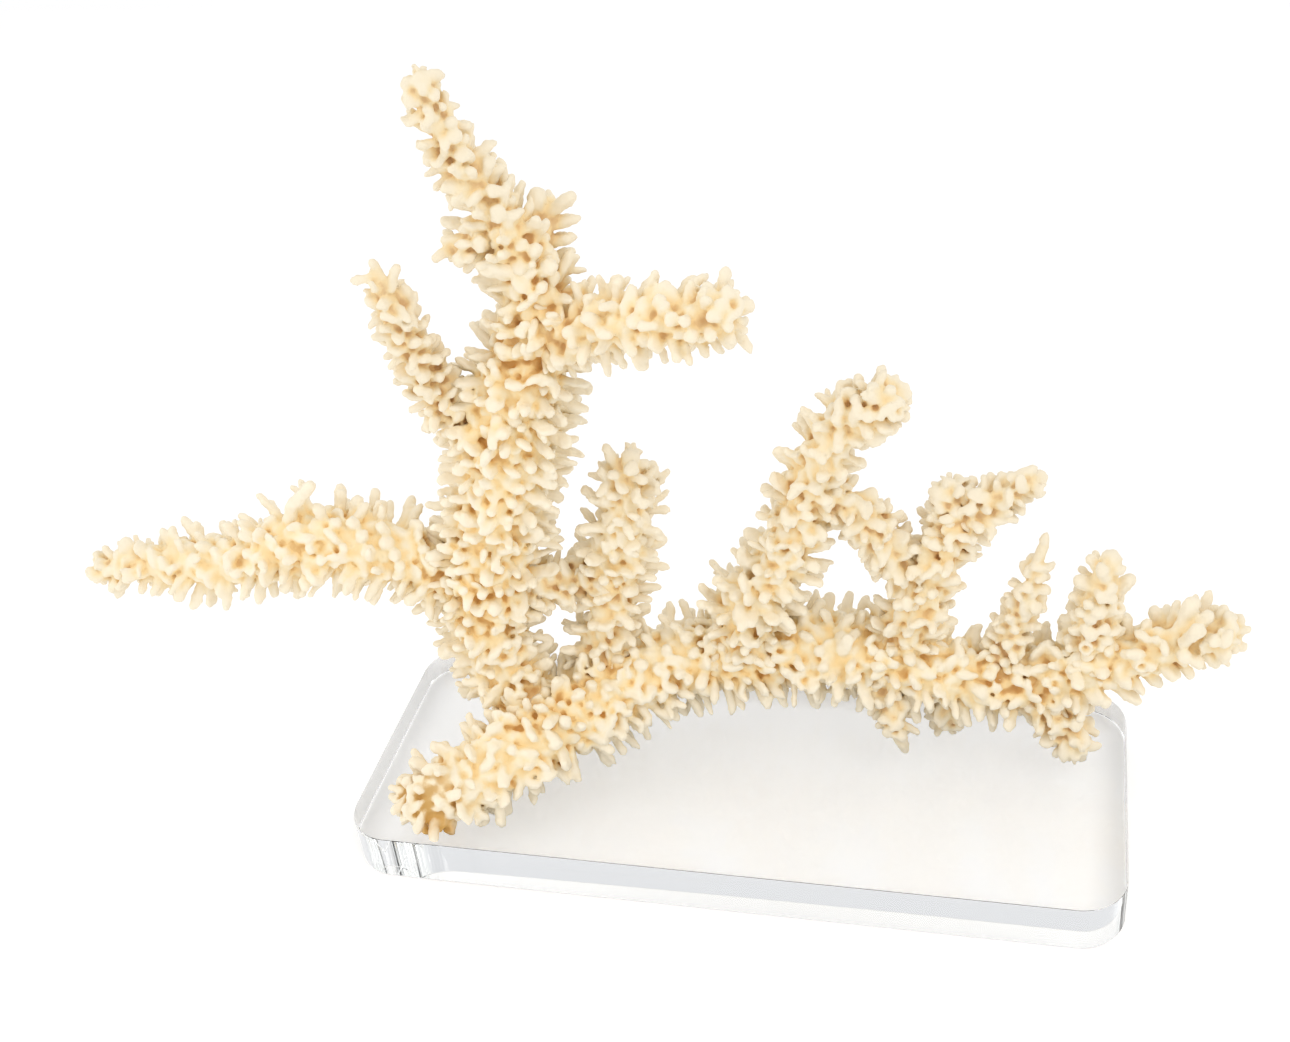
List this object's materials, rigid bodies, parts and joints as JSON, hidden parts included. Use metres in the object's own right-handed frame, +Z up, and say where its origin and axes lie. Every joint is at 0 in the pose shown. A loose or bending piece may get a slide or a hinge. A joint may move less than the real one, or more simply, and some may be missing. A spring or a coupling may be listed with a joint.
{
  "type": "branching coral on a clear slab",
  "caption": "Branching coral specimen with dense blunt fingers, standing on its low bough and foot on a clear acrylic slab.",
  "frame": {"origin": "the middle of the slab's underside", "axes": "+Z up, +X along the slab's length towards the coral's low right end, -Y towards the viewer"},
  "size_m": [0.4191, 0.1137, 0.3],
  "materials": {
    "coral": "matt bleached coral skeleton, ivory at the finger tips and warm yellow between them",
    "acrylic": "clear cast acrylic with polished edges"
  },
  "bodies": {
    "root": {"acrylic_slab": "acrylic", "left_foot": "coral", "bough_near": "coral", "bough_middle": "coral", "bough_far": "coral", "bough_end": "coral", "trunk_lower": "coral", "trunk_middle": "coral", "trunk_upper": "coral", "crown": "coral", "crown_spur": "coral", "crown_twig": "coral", "right_arm": "coral", "left_spur": "coral", "left_arm": "coral", "inner_spire": "coral", "bridge": "coral", "tall_spire": "coral", "forked_spire": "coral", "forked_stub": "coral", "link_branch": "coral", "thin_spire": "coral", "knotty_spire": "coral", "front_leg": "coral", "right_foot": "coral", "under_twig": "coral"}
  },
  "joints": []
}
